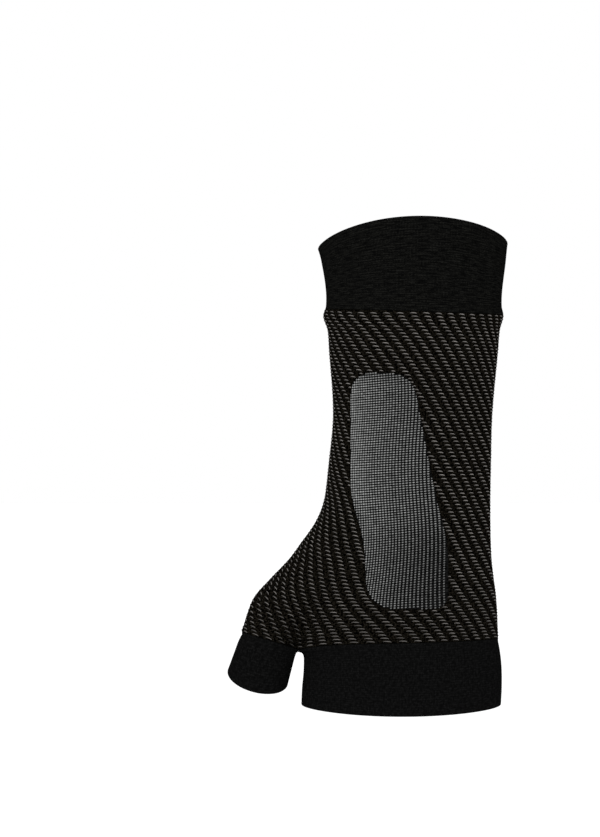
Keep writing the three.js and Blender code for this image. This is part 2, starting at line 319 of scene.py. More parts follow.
def knit_material(name, groove_painted_shade, light, relief, run):
    """A matt knit with painted shade in its grooves, so that its colour is darker there than on the legs of
    its stitches. Streaks along courses and along wales, each a run of stitches long, multiplied, make some
    stitches lighter than others."""
    material, tree, shader = new_material(name)
    height = vee_height(tree)
    runs = {0: streaks(tree, (1 / run[0], STREAKS)), 1: streaks(tree, (STREAKS, 1 / run[1]))}
    uneven = add_node(tree, "ShaderNodeMath", runs, operation="MULTIPLY").outputs[0]
    least, most = STREAK_SPAN
    spread = {"Value": uneven, "From Min": least, "From Max": most, "To Min": 0, "To Max": STREAK_STRENGTH}
    strength = {0: height, 1: add_node(tree, "ShaderNodeMapRange", spread).outputs["Result"]}
    tone = add_node(tree, "ShaderNodeMath", strength, operation="MULTIPLY").outputs[0]
    # Painted shade: the colour runs from the grooves' painted dark to the yarn's colour on the legs, scaled
    # by the streaks.
    mix = add_node(tree, "ShaderNodeMix", {"Factor": tone}, data_type="RGBA", clamp_factor=False)
    mix.inputs["A"].default_value = linear(groove_painted_shade)
    mix.inputs["B"].default_value = linear(light)
    tree.links.new(mix.outputs["Result"], shader.inputs["Base Color"])
    bump = add_node(tree, "ShaderNodeBump", {"Height": height, "Strength": 0.6, "Distance": relief})
    tree.links.new(bump.outputs["Normal"], shader.inputs["Normal"])
    shader.inputs["Roughness"].default_value = 0.9
    shader.inputs["Specular IOR Level"].default_value = 0
    return material


# Black nylon and elastane in a fine plain knit, which is matt and near black, with faint level rows where
# the tension of its yarn is uneven.
plain_knit = knit_material("black_nylon_plain_knit", 0x060606, 0x1A1A18, 0.12 * MM, (4, 0.4))
cuff_rows = int((TOP_RIM["z"] + TOP_RIM["front"] - CUFF_EDGE["z"]) / COURSE) * STITCH_POINTS
cuff_down = np.linspace(0, 1, cuff_rows + 1)
cuff_edges = raised(TOP_RIM, -CUFF_WALL / 2), raised(CUFF_EDGE, JOINT_SWELL)
cuff_outside = spaced(trunk_lines(*cuff_edges, cuff_down), CUFF_WALES * STITCH_POINTS)
forearm_cuff = plain_cuff("forearm_cuff_knit", cuff_outside, CUFF_WALL / 2, JOINT_SWELL)
forearm_cuff.data.materials.append(plain_knit)
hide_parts("forearm_cuff")
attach(forearm_cuff, "root")

# Body
# The main tube from the forearm to the fork of thumb and palm, knitted in one with the cuffs from black
# yarn. Its foot dips into the fork, and a window on the back of the wrist is filled by the support panel.
BODY_WALL = 1.3 * MM
BODY_ROWS = 141
BODY_COLUMNS = 288

# Wales and courses of the ground, drawn a little coarser than real ones to show.
BODY_WALES = 200
BODY_COURSES = 186

# The fork of thumb and palm: its place, how far the body's end dips there and rises on the thumb's outer
# side, the power that narrows the dip, and the power that keeps both near the end.
FORK_X = -48.3 * MM
FORK_DIP = 3.4 * MM
THUMB_RISE = 4 * MM
FORK_NARROWNESS = 4
FORK_NEARNESS = 10

# Corners of the support panel seen from the front, clockwise from the top left: x, z, and how far from the
# corner its curve starts. Then the steps of a curve, and the least area of a face cut along it.
PANEL_CORNERS = MM * np.array([
    (-26, 37.1, 10),
    (-0.3, 36.9, 10),
    (9.5, -13.5, 9),
    (15.2, -35.3, 9),
    (15.4, -62.6, 7),
    (-19.2, -62.6, 13),
    (-20.3, -34.2, 7),
    (-26.1, -14.6, 7),
])
PANEL_CURVE = np.linspace(0, 1, 9)[:, None, None]
SLIVER = 0.01 * MM**2

# Wales of the stretched knit lie closer at the sides by a share, and in the upper half by another share,
# about a place on the front and the one behind it, which fades out between two shares of the length.
SIDE_CROWDING = 0.067
TOP_CROWDING = 0.105
TOP_CROWDING_MIDDLE = 0.2
TOP_CROWDING_SPAN = (0.15, 0.5)

# They are drawn over the little finger's edge, from a share round on the front to one on the back, and from
# shares of the length down they slip off the thumb's root and twist at the foot.
EDGE_DRAW = 0.04
EDGE_DRAW_FRONT = 0.105
EDGE_DRAW_BACK = -0.4
WALE_SLIP = 0.05
WALE_SLIP_NARROWNESS = 10
WALE_SLIP_START = 0.66
FOOT_TWIST = 0.04
FOOT_TWIST_START = 0.5

# Courses lie closer at both ends by a share. The forearm cuff presses the first ones down on the front's
# half towards the thumb, over a share of the length. Lower ones rise to the thumb's edge, over a distance
# from it, and more so between two shares of the length.
END_CROWDING = 0.055
TOP_PRESS = 0.82 * MM
TOP_PRESS_REACH = 0.05
COURSE_LIFT = 7.5 * MM
COURSE_LIFT_REACH = 11 * MM
COURSE_LIFT_SPAN = (0.32, 0.88)
BODY_LENGTH = CUFF_EDGE["z"] - BODY_END["z"]


def fork_dip(angle):
    """How far the body's end lies below its edge: a power of the sine towards the fork's front and back,
    less a rise with the squared cosine on the thumb's outer side."""
    rise = THUMB_RISE * np.maximum(-np.cos(angle), 0) ** 2
    return FORK_DIP * np.abs(np.sin(angle)) ** FORK_NARROWNESS - rise


def rounded_outline(corners):
    """A closed outline whose corners are quadratic curves between points before and after each corner."""
    corner, curve = corners[:, :2], corners[:, 2:]
    after = unit(np.roll(corner, -1, axis=0) - corner)
    start, end = corner - np.roll(after, 1, axis=0) * curve, corner + after * curve
    t = PANEL_CURVE
    points = (1 - t) ** 2 * start + 2 * t * (1 - t) * corner + t**2 * end
    return points.swapaxes(0, 1).reshape(-1, 2)


def from_outline(outline, points):
    """Distance of points from a closed outline, negative inside, and the nearest points of it. A point is
    inside where a line from it crosses the outline an odd number of times."""
    after = np.roll(outline, -1, axis=0)
    along = after - outline
    off = points[:, None] - outline
    share = np.clip((off * along).sum(axis=2) / (along**2).sum(axis=1), 0, 1)
    nearest = outline + share[..., None] * along
    far = np.linalg.norm(points[:, None] - nearest, axis=2)
    best = far.argmin(axis=1)
    spans = (outline[:, 1] > points[:, 1:]) != (after[:, 1] > points[:, 1:])
    rise = np.where(along[:, 1] == 0, 1, along[:, 1])
    crossing = outline[:, 0] + off[..., 1] / rise * along[:, 0]
    inside = (spans & (points[:, :1] < crossing)).sum(axis=1) % 2 == 1
    each = np.arange(len(points))
    return np.where(inside, -1, 1) * far[each, best], nearest[each, best]


def facing(points, normal, faces):
    """Area of faces as seen along the normals of their points: half the cross product of a quad's diagonals,
    or of two sides of a triangle."""
    corner = points[faces]
    cross = np.cross(corner[:, 2] - corner[:, 0], corner[:, -1] - corner[:, 1])
    return (cross * normal[faces].mean(axis=1)).sum(axis=1) / 2


def parted(rings, outline):
    """Parts the front of a grid of rings along an outline seen from the front. Points within half a mesh
    width move onto it, in the surface, and each quad or half quad goes to the side where its other corners
    lie. Faces that this turns inside out, or leaves smaller than a sliver, are dropped. Gives the points and
    each side's quads, triangles and their places in columns and rows."""
    rows, columns = rings.shape[:2]
    points, normal = rings.reshape(-1, 3).copy(), outward(rings).reshape(-1, 3)
    front = np.flatnonzero(points[:, 1] < 0)
    side = np.full(len(points), 1.0)
    far, nearest = from_outline(outline, points[front][:, [0, 2]])
    close = np.abs(far) < np.linalg.norm(rings[1, 0] - rings[0, 0]) / 2
    side[front] = np.where(close, 0, np.sign(far))
    moved = front[close]
    shift = nearest[close] - points[moved][:, [0, 2]]
    points[moved, 1] -= (normal[moved][:, [0, 2]] * shift).sum(axis=1) / normal[moved, 1]
    points[moved[:, None], [0, 2]] = nearest[close]
    quads, places = ring_faces(rows, columns)
    quads, places = quads[: (rows - 1) * columns], places[: (rows - 1) * columns]
    sides = side[quads]
    mixed = (sides.max(axis=1) > 0) & (sides.min(axis=1) < 0)
    whole = np.sign(sides.sum(axis=1))
    flat = np.flatnonzero((whole == 0) & ~mixed)
    whole[flat] = np.sign(from_outline(outline, points[quads[flat]].mean(axis=1)[:, [0, 2]])[0])
    turn = np.where(sides[mixed, 0] == 0, 0, 1)[:, None]
    halves = np.concatenate([turn + [0, 1, 2], turn + [0, 2, 3]]) % 4
    each = np.tile(np.flatnonzero(mixed), 2)[:, None]
    half_side = np.sign(sides[each, halves].sum(axis=1))
    parts = []
    for way in (1, -1):
        kept, half = ~mixed & (whole == way), half_side == way
        corners = each[half], halves[half]
        faces, spots = (quads[kept], quads[corners]), (places[kept], places[corners])
        good = [facing(points, normal, part) > SLIVER for part in faces]
        parts.append(([f[g] for f, g in zip(faces, good)], [s[g] for s, g in zip(spots, good)]))
    return points, parts


def cloth_object(name, points, faces, places, wall):
    """A cloth's object from its outside, without the points that no face uses, thickened inwards."""
    used, corners = np.unique(np.concatenate([part.ravel() for part in faces]), return_inverse=True)
    ends = np.cumsum([part.size for part in faces])[:-1]
    faces = [part.reshape(old.shape) for part, old in zip(np.split(corners.ravel(), ends), faces)]
    made = mesh_object(name, points[used], faces, places)
    thick = made.modifiers.new("wall", "SOLIDIFY")
    thick.thickness = wall
    thick.offset = -1
    return made


def on_rings(rings, round_, down):
    """Values of a grid of rings at shares round and down it, mixed from the four points about each place."""
    rows, columns = rings.shape[:2]
    i, j = np.clip(down, 0, 1) * (rows - 1), round_ % 1 * columns
    above, before = np.minimum(i.astype(int), rows - 2), j.astype(int) % columns
    i, j, after = (i - above)[:, None], (j - j.astype(int))[:, None], (before + 1) % columns
    top = rings[above, before] * (1 - j) + rings[above, after] * j
    foot = rings[above + 1, before] * (1 - j) + rings[above + 1, after] * j
    return top * (1 - i) + foot * i


def ramp(value, low, high):
    """A smooth step from 0 at low to 1 at high."""
    t = np.clip((value - low) / (high - low), 0, 1)
    return t * t * (3 - 2 * t)


def knitted(wale, course):
    """Shares round and down the body of stitches given by shares of its wales and courses. Wales are moved
    by a sine to lie closer at the sides and by another, which fades out downwards, to lie closer on the
    front, by a ramp over the little finger's edge, most at mid length, by a power of a sine off the thumb's
    root, and by a cube of the way down times a squared sine round the foot. Courses are moved by a sine to
    lie closer at the ends, pressed down below the cuff by a sine times an exponential of the way down, and
    raised by an exponential of the way from the thumb's edge, which grows down to the thumb's root and is
    gone at the fork."""
    round_ = wale + SIDE_CROWDING / (4 * np.pi) * np.sin(4 * np.pi * (wale - 0.25))
    crowded = TOP_CROWDING / (4 * np.pi) * (1 - ramp(course, *TOP_CROWDING_SPAN))
    round_ = round_ - crowded * np.sin(4 * np.pi * (wale - TOP_CROWDING_MIDDLE))
    from_edge = (wale + 0.5) % 1 - 0.5
    drawn = ramp(from_edge, EDGE_DRAW_FRONT, 0) * ramp(from_edge, EDGE_DRAW_BACK, 0)
    round_ = round_ - EDGE_DRAW * drawn * np.sin(np.pi * course) ** 2
    slip = ramp(course, WALE_SLIP_START, 1) * np.sin(np.pi * wale) ** WALE_SLIP_NARROWNESS
    foot_share = np.maximum(course - FOOT_TWIST_START, 0) / (1 - FOOT_TWIST_START)
    round_ = round_ - WALE_SLIP * slip - FOOT_TWIST * foot_share**3 * np.sin(2 * np.pi * wale) ** 2
    down = course - END_CROWDING / (2 * np.pi) * np.sin(2 * np.pi * course)
    pressed = np.maximum(np.sin(4 * np.pi * (wale - 0.25)), 0) * np.exp(-course / TOP_PRESS_REACH)
    down = down + TOP_PRESS / BODY_LENGTH * pressed
    edge = np.interp(down, body_down, body_rings[..., 0].min(axis=1))
    way = on_rings(body_rings, round_, down)[:, 0] - edge
    start, full = COURSE_LIFT_SPAN
    grown = np.clip((down - start) / (full - start), 0, 1) * (1 - ramp(down, full, 1))
    return round_, down - COURSE_LIFT / BODY_LENGTH * np.exp(-way / COURSE_LIFT_REACH) * grown


CORRECTIONS = 12


def unknitted(round_, down):
    """Shares of the wales and courses at shares round and down the body, by repeated correction of a
    guess."""
    wale, course = round_, down
    for _ in range(CORRECTIONS):
        there = knitted(wale, course)
        wale, course = wale + round_ - there[0], course + down - there[1]
    return wale, course


body_down = np.linspace(0, 1, BODY_ROWS + 1)
body_lines = trunk_lines(CUFF_EDGE, BODY_END, body_down)
body_lines[..., 2] -= fork_dip(RAYS) * body_down[:, None] ** FORK_NEARNESS
body_rings = spaced(body_lines, BODY_COLUMNS)
panel_outline = rounded_outline(PANEL_CORNERS)
body_points, (body_side, panel_side) = parted(body_rings, panel_outline)
body_round = np.arange(BODY_COLUMNS + 1) / BODY_COLUMNS
point_down, point_round = pairs(body_down, body_round)
wale, course = unknitted(point_round, point_down)
body_cloth = np.stack([wale * BODY_WALES, course * BODY_COURSES], axis=1)
body_cloth = body_cloth.reshape(len(body_down), len(body_round), 2)
body_places = [body_cloth[part[..., 1], part[..., 0]] for part in body_side[1]]
sleeve_body = cloth_object("sleeve_body_knit", body_points, body_side[0], body_places, BODY_WALL)

# The same nylon in a looser ground knit, a warm near black on its stitches, with painted shade that is black
# in its gaps.
ground_knit = knit_material("black_nylon_ground_knit", 0x000000, 0x201D18, 0.2 * MM, (1.2, 1.2))
sleeve_body.data.materials.append(ground_knit)
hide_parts("sleeve_body")
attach(sleeve_body, "root")

# Dashes of the body
# Short floats of warm grey yarn that lie on the black ground over about half of every five wales, each row
# of them one wale back from the last, so that they line up on a diagonal.

# Dashes round the body and rows of them down it, wales from one dash to the next, the share of these that a
# dash covers, and by how many wales the first one lies back.
DASH_COLUMNS = 40
DASH_ROWS = 93
DASH_WALES = 5
DASH_SHARE = 0.52
DASH_START = 2.5

# A dash's size, how far it arches and waves in half widths, how much it leans with the slope of its row and
# beyond that, how far its ends taper, how its back is rounded, and its mesh points along and across.
DASH_HALF_WIDTH = 0.225 * MM
DASH_HEIGHT = 0.22 * MM
DASH_ARCH = 0.9
DASH_LOBE = 0.15
DASH_TILT = 0.35
DASH_SLANT = 0.06
DASH_TAPER = 0.94
DASH_CROWN = 1.2
DASH_FALL = 1.5
DASH_STATIONS = np.linspace(-1, 1, 9)
DASH_WIDTHS = np.array([-1, -0.45, 0.45, 1])

# How light the yarn shows: from the thumb's edge to the little finger's, what it loses towards the body's
# end, painted shade in the fork's crease and towards one end of each dash, and its spread and limits from
# one stitch to the next.
DASH_TONES = (0.92, 1.13)
DASH_TONE_SPAN = MM * np.array([-35, 35])
DASH_FADE = 0.32
DASH_FADE_START = 0.72
FORK_PAINTED_SHADE = 0.65
FORK_PAINTED_SHADE_REACH = 6.5 * MM
FORK_PAINTED_SHADE_MIDDLE = MM * np.array([-52, -78.5])
DASH_PAINTED_SHADE = 0.4
DASH_PAINTED_SHADE_START = -0.2
DASH_SPREAD = 0.16
TONE_LIMITS = (0.6, 1.4)

# The room that a dash's middle keeps from the panel, and how far its end may run over the panel's edge.
DASH_CLEAR = 0.35 * MM
DASH_OVERLAP = 0.15 * MM

# Thickness of the filaments of a bulked yarn, and how dark and light they show. Real ones are far finer, and
# these are drawn coarser to show.
FILAMENT = 0.25 * MM
FILAMENT_TONES = (0.6, 1.4)

dice = np.random.default_rng(7)


def stitch_faces(stations, widths):
    """Corners of the quads of one stitch's grid."""
    i, j = pairs(np.arange(stations - 1), np.arange(widths - 1))
    first = i * widths + j
    return np.stack([first, first + widths, first + widths + 1, first + 1], axis=1)


def stitches(name, form, faces, centre, along, up, out, tone, shade):
    """Many stitches as one mesh. A form's point (a, b, h) lies at centre + a along + b up + h out of each
    stitch, tone is how light its yarn is, and shade how much of that each point of the form has, which
    paints shade on the points where it is below 1."""
    ways = enumerate((along, up, out))
    points = centre[:, None] + sum(form[:, k, None] * way[:, None] for k, way in ways)
    corners = faces + len(form) * np.arange(len(centre))[:, None, None]
    made = mesh_object(name, points.reshape(-1, 3), [corners.reshape(-1, 4)])
    tones = made.data.attributes.new("tone", "FLOAT", "POINT")
    tones.data.foreach_set("value", np.outer(tone, shade).ravel().astype(np.float32))
    return made


def yarn_material(name, colour):
    """A matt bulked yarn: each stitch has its own tone, which carries painted shade where it is given, and
    fine filaments break up its surface.
    """
    material, tree, shader = new_material(name)
    tone = add_node(tree, "ShaderNodeAttribute", {}, attribute_name="tone").outputs["Fac"]
    place = add_node(tree, "ShaderNodeTexCoord", {}).outputs["Object"]
    noise = {"Vector": place, "Scale": 1 / FILAMENT, "Detail": 2.0}
    filaments = add_node(tree, "ShaderNodeTexNoise", noise).outputs["Fac"]
    dark, light = FILAMENT_TONES
    spread = {"Value": filaments, "To Min": dark, "To Max": light}
    both = {0: tone, 1: add_node(tree, "ShaderNodeMapRange", spread).outputs["Result"]}
    share = add_node(tree, "ShaderNodeMath", both, operation="MULTIPLY").outputs[0]
    mix = add_node(tree, "ShaderNodeVectorMath", {0: linear(colour)[:3], "Scale": share}, operation="SCALE")
    tree.links.new(mix.outputs["Vector"], shader.inputs["Base Color"])
    relief = {"Height": filaments, "Strength": 0.3, "Distance": FILAMENT / 4}
    bump = add_node(tree, "ShaderNodeBump", relief)
    tree.links.new(bump.outputs["Normal"], shader.inputs["Normal"])
    shader.inputs["Roughness"].default_value = 0.85
    shader.inputs["Specular IOR Level"].default_value = 0.1
    return material


dash_row, dash_column = pairs(np.arange(DASH_ROWS), np.arange(DASH_COLUMNS))
dash_wale = (DASH_WALES * dash_column - dash_row - DASH_START) / (DASH_WALES * DASH_COLUMNS)
dash_course = (dash_row + 0.5) / DASH_ROWS
body_normals = outward(body_rings)
half_dash = DASH_SHARE / DASH_COLUMNS / 2
dash_centre = on_rings(body_rings, *knitted(dash_wale, dash_course))
dash_out = unit(on_rings(body_normals, *knitted(dash_wale, dash_course)))
ends = [on_rings(body_rings, *knitted(dash_wale + way * half_dash, dash_course)) for way in (-1, 1)]
dash_along = (ends[1] - ends[0]) / 2
dash_up = unit(np.cross(dash_along, dash_out))

# Dashes lean, and those beside the panel are cut short by its outline or dropped.
dash_along += DASH_TILT * dash_along[:, 2:] * dash_up
dash_along += DASH_SLANT * np.linalg.norm(dash_along, axis=1, keepdims=True) * dash_up
dash_up = unit(np.cross(dash_along, dash_out))
from_panel = from_outline(panel_outline, dash_centre[:, [0, 2]])[0]
room = np.where(dash_centre[:, 1] > 0, np.inf, from_panel)
clear = room > DASH_CLEAR
half_length = np.linalg.norm(dash_along, axis=1)
dash_along *= (np.minimum(half_length, room + DASH_OVERLAP) / half_length)[:, None]

# A dash's form: stations along it from its start, widths that taper as an ellipse does to both ends, about a
# middle line that arches as a parabola and waves as a cosine, and a height that falls off with the square of
# the way across.
station, width = pairs(DASH_STATIONS, DASH_WIDTHS)
taper = np.sqrt(1 - (DASH_TAPER * station) ** 2)
arch = DASH_ARCH * (1 - station**2) - DASH_LOBE * np.cos(2 * np.pi * station)
crown = taper * (DASH_CROWN - DASH_FALL * width**2)
dash_form = np.stack([station, arch + width * taper, crown], axis=1)
dash_faces = stitch_faces(len(DASH_STATIONS), len(DASH_WIDTHS))
dash_tone = np.clip(dice.normal(1, DASH_SPREAD, len(dash_centre)), *TONE_LIMITS)
dash_tone *= 1 - DASH_FADE * ramp(dash_course, DASH_FADE_START, 1)
dash_tone *= np.interp(dash_centre[:, 0], DASH_TONE_SPAN, DASH_TONES)
# Painted shade: the yarn darkens in the fork's crease between thumb and palm.
from_fork = np.linalg.norm(dash_centre[:, [0, 2]] - FORK_PAINTED_SHADE_MIDDLE, axis=1)
dash_tone *= 1 - FORK_PAINTED_SHADE * np.exp(-((from_fork / FORK_PAINTED_SHADE_REACH) ** 2))
# Painted shade: each dash darkens towards one end, which leaves its other end lighter as a painted
# highlight.
dash_stitches = stitches(
    "dash_stitches", dash_form, dash_faces, dash_centre[clear], dash_along[clear],
    dash_up[clear] * DASH_HALF_WIDTH, dash_out[clear] * DASH_HEIGHT, dash_tone[clear],
    1 - DASH_PAINTED_SHADE * ramp(station, DASH_PAINTED_SHADE_START, 1),
)

# Warm grey nylon, textured by crimping, which is matt and soft, lighter and darker from float to float.
dash_stitches.data.materials.append(yarn_material("warm_grey_nylon_yarn", 0x686562))
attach(dash_stitches, "root")

# Support panel
# A firmer zone knitted into the body over the back of the wrist and hand, its ground dark and its face
# covered with rows of grey stitches.

# Pitch of the rows, and numbers of the rows and columns, which reach past the panel's edges.
PANEL_ROW = 1.03 * MM
PANEL_ROWS = np.arange(-6, 106)
PANEL_COLUMNS = np.arange(-22, 12)

# The columns: place of the middle one, pitch beside it, the share by which the pitch grows with each
# millimetre towards the little finger, how far and with what power they fan out at the foot, and how far,
# over what length and from what height they sway.
PANEL_MIDDLE = -2 * MM
PANEL_PITCH = 1.42 * MM
PANEL_WIDENING = 0.016
PANEL_FAN = 0.16
PANEL_FAN_POWER = 4
PANEL_SWAY = 0.7 * MM
PANEL_SWAY_LENGTH = 61 * MM
PANEL_SWAY_LEVEL = 12 * MM

# How steeply the rows rise towards the little finger, at heights from the panel's foot up.
PANEL_SLOPE_LEVELS = MM * np.array([-62, -48, -30, 0, 37])
PANEL_SLOPES = np.array([0.06, 0.15, 0.12, 0.075, 0.09])

# A stitch's height, its mesh points each way, how its dome stands up from a sunken edge, how far it stays
# from the panel's edge, and the least share of it that is kept there.
PANEL_STITCH_HEIGHT = 0.22 * MM
PANEL_POINTS = np.linspace(-1, 1, 5)
PANEL_DOME = 1.2
PANEL_SUNK = 0.2
PANEL_INSET = 0.1 * MM
PANEL_LEAST = 0.35

# Shares of a column's and a row's pitch that a stitch covers, above the wrist's crease and below it, the
# heights between which the one turns into the other, how much narrower stitches get across the panel, and
# how much taller they are in a share of it on the thumb's side.
PANEL_COVER = np.array([(0.98, 0.58), (0.8, 0.7)])
PANEL_CHANGE = MM * np.array([-17, -42])
PANEL_THINNING = 0.36
PANEL_FULLNESS = 0.2
PANEL_FULL_SHARE = 0.22

# How light the yarn shows at shares of the panel's width from the thumb's side, what it loses below the
# wrist's crease, where it is stretched thin, at the thumb's side and more across the panel, what it loses at
# the panel's top and over what distance, and its spread from one stitch to the next.
PANEL_TONES = np.array([(0, 1.12), (0.14, 1.12), (0.3, 1.14), (0.45, 1.02), (1, 1.0)])
PANEL_TONE_BELOW = np.array([0.06, 0.46])
PANEL_TOP_FADE = 0.28
PANEL_TOP_FADE_REACH = 5 * MM
PANEL_SPREAD = 0.14


def limb_front(x, z):
    """Points of the back of wrist and hand over (x, z), on the limb's ellipse."""
    left, right, depth, back = sections(LIMB, z)
    across = (2 * x - left - right) / (right - left)
    return np.stack([x, back - depth * np.sqrt(1 - across**2), z], axis=-1)


def panel_knitted(column, row):
    """Points of the panel by column and row. Columns widen by an exponential towards the little finger, sway
    by a sine and fan out by a power at the foot, and rows rise by a slope that changes with their height."""
    top, foot = PANEL_CORNERS[0, 1], PANEL_CORNERS[4, 1]
    level = top - PANEL_ROW * row
    widening = PANEL_WIDENING * PANEL_PITCH / MM
    off = PANEL_PITCH * (np.exp(widening * column) - 1) / widening
    fan = 1 + PANEL_FAN * np.clip((foot - level) / (top - foot) + 1, 0, 1) ** PANEL_FAN_POWER
    sway = PANEL_SWAY * np.sin(2 * np.pi * (level - PANEL_SWAY_LEVEL) / PANEL_SWAY_LENGTH)
    x = PANEL_MIDDLE + off * fan + sway
    slope = np.interp(level, PANEL_SLOPE_LEVELS, PANEL_SLOPES)
    return limb_front(x, level + slope * (x - PANEL_MIDDLE))


def panel_edges(z):
    """The panel's edges on the thumb's and the little finger's side at heights, along its outline's points
    on either side of the line from the middle of its top to that of its foot."""
    top, foot = PANEL_CORNERS[:2].mean(axis=0), PANEL_CORNERS[4:6].mean(axis=0)
    beyond = panel_outline[:, 0] - np.interp(panel_outline[:, 1], [foot[1], top[1]], [foot[0], top[0]])
    chains = [panel_outline[way * beyond > 0] for way in (-1, 1)]
    orders = [chain[:, 1].argsort() for chain in chains]
    return [np.interp(z, chain[order, 1], chain[order, 0]) for chain, order in zip(chains, orders)]


panel_places = [body_cloth[part[..., 1], part[..., 0]] for part in panel_side[1]]
support_panel = cloth_object("support_panel_knit", body_points, panel_side[0], panel_places, BODY_WALL)

# Charcoal nylon in a firm ground knit, which is matt and dark, and shows in fine lines between grey rows.
panel_knit = knit_material("charcoal_nylon_panel_knit", 0x070707, 0x1E1E1E, 0.15 * MM, (2.2, 2.2))
support_panel.data.materials.append(panel_knit)

panel_row, panel_column = pairs(PANEL_ROWS, PANEL_COLUMNS)
panel_centre = panel_knitted(panel_column, panel_row)
row_way = panel_knitted(panel_column + 0.5, panel_row) - panel_knitted(panel_column - 0.5, panel_row)
column_way = panel_knitted(panel_column, panel_row - 0.5) - panel_knitted(panel_column, panel_row + 0.5)
panel_out = unit(np.cross(row_way, column_way))
below = ramp(-panel_centre[:, 2], *-PANEL_CHANGE)[:, None]
across = (panel_centre[:, 0] - panel_outline[:, 0].min()) / np.ptp(panel_outline[:, 0])
cover = PANEL_COVER[0] + below * (PANEL_COVER[1] - PANEL_COVER[0])
cover[:, 0] -= PANEL_THINNING * across
cover[:, 1] += PANEL_FULLNESS * np.clip(1 - across / PANEL_FULL_SHARE, 0, 1)

# Stitches at the panel's sides are cut short by its outline, and those left with too little are dropped.
half = row_way[:, 0] / 2 * cover[:, 0]
left, right = panel_edges(panel_centre[:, 2])
low = np.maximum(panel_centre[:, 0] - half, left + PANEL_INSET)
high = np.minimum(panel_centre[:, 0] + half, right - PANEL_INSET)
cover[:, 0] *= (high - low) / (2 * half)
panel_centre = limb_front((low + high) / 2, panel_centre[:, 2])
from_middle = np.abs(panel_centre[:, 2] - np.mean(PANEL_CORNERS[[0, 4], 1]))
inner = from_middle < np.ptp(panel_outline[:, 1]) / 2 - PANEL_INSET
kept = inner & (high - low > PANEL_LEAST * 2 * half)

# A stitch's form: a square rounded to a disc, each way times the root of one less half the square of the
# other, under a dome that is the product of two parabolas.
side, height = pairs(PANEL_POINTS, PANEL_POINTS)
dome = PANEL_DOME * (1 - side**2) * (1 - height**2) - PANEL_SUNK
rounded = side * np.sqrt(1 - height**2 / 2), height * np.sqrt(1 - side**2 / 2)
panel_form = np.stack([*rounded, dome], axis=1)
panel_faces = stitch_faces(len(PANEL_POINTS), len(PANEL_POINTS))
panel_tone = np.interp(across, *PANEL_TONES.T)
panel_tone -= below[:, 0] * (PANEL_TONE_BELOW[0] + PANEL_TONE_BELOW[1] * across)
panel_top = panel_outline[:, 1].max()
near_top = ramp(panel_centre[:, 2], panel_top - PANEL_TOP_FADE_REACH, panel_top)
panel_tone *= 1 - PANEL_TOP_FADE * near_top
panel_tone *= np.clip(dice.normal(1, PANEL_SPREAD, len(panel_centre)), *TONE_LIMITS)
panel_stitches = stitches(
    "panel_stitches", panel_form, panel_faces, panel_centre[kept],
    (row_way / 2 * cover[:, :1])[kept], (column_way / 2 * cover[:, 1:])[kept],
    panel_out[kept] * PANEL_STITCH_HEIGHT, panel_tone[kept], np.ones(len(panel_form)),
)

# Mid grey nylon, textured by crimping, which is matt and a little uneven from stitch to stitch.
panel_stitches.data.materials.append(yarn_material("grey_nylon_yarn", 0x7A7B7A))
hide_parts("support_panel")
for made in (support_panel, panel_stitches):
    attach(made, "root")

# Hand cuff
# The plain black band round the palm, knitted double as the forearm's is. It starts at the fork, where its
# wall runs straight across between thumb and palm, and ends in a folded rim.
HAND_WALES = 186
HAND_RIM = {"z": -105.6 * MM, "depth": 16.8 * MM, "slope": (0, 0), "front": -2.9 * MM, "back": -1.5 * MM}

# How far the walls on both sides of the fork stay together below the body, over what height they then arch
# apart, and the power of the arch, 2 for a quarter of an ellipse.
FORK_SEAM = 1.5 * MM
FORK_ARCH = 4.5 * MM
FORK_SQUARENESS = 2.7

# The palm below the fork, in the columns of the table of the limb.
PALM = MM * np.array([
    (-112, -46.9, 38.7, 16.5, 0),
    (-98, -46.5, 39.5, 17.2, 0),
    (-88, -45.8, 39.3, 17.7, 0),
    (-77, -45.7, 37.9, 18.2, 0),
])


def fork_loop(side, count):
    """The body's end on the palm's side (1) of the fork or the thumb's (-1), closed straight across it."""
    rays = RAYS + (0 if side > 0 else np.pi)
    line = trunk(rays, np.full(rays.shape, BODY_END["z"]))
    line[:, 2] = edge_height(BODY_END, line) - fork_dip(rays)
    return spaced(line[side * (line[:, 0] - FORK_X) > 0][None], count)[0]


def ellipse_rings(x, y, half_width, half_depth, side, count):
    """Level rings of points at even distances round ellipses, from the outer side."""
    rays = RAYS + (0 if side > 0 else np.pi)
    x, y, half_width, half_depth = (np.asarray(n)[:, None] for n in (x, y, half_width, half_depth))
    points = x + half_width * np.cos(rays), y + half_depth * np.sin(rays)
    return spaced(np.stack([*points, 0 * points[0]], axis=-1), count)


def fork_cuff(side, wales, height, tube, rim_height):
    """Rings of a cuff's outside from the fork's loop down to its rim. tube gives ellipses at shares of the
    height, and the rings turn from the loop to their ellipses as a quarter of a squared ellipse does, from
    level to upright."""
    rows = int(height / COURSE) * STITCH_POINTS
    share = np.linspace(0, 1, rows + 1)
    loop = fork_loop(side, wales * STITCH_POINTS)
    rings = ellipse_rings(*tube(share), side, wales * STITCH_POINTS)
    left = 1 - np.clip((share * height - FORK_SEAM) / FORK_ARCH, 0, 1)
    arch = (1 - left**FORK_SQUARENESS) ** (1 / FORK_SQUARENESS)
    outside = loop + arch[:, None, None] * (rings - loop)
    top, foot = loop[:, 2] - JOINT_SWELL, rim_height(rings[-1]) + CUFF_WALL / 2
    outside[..., 2] = top + share[:, None] * (foot - top)
    return outside


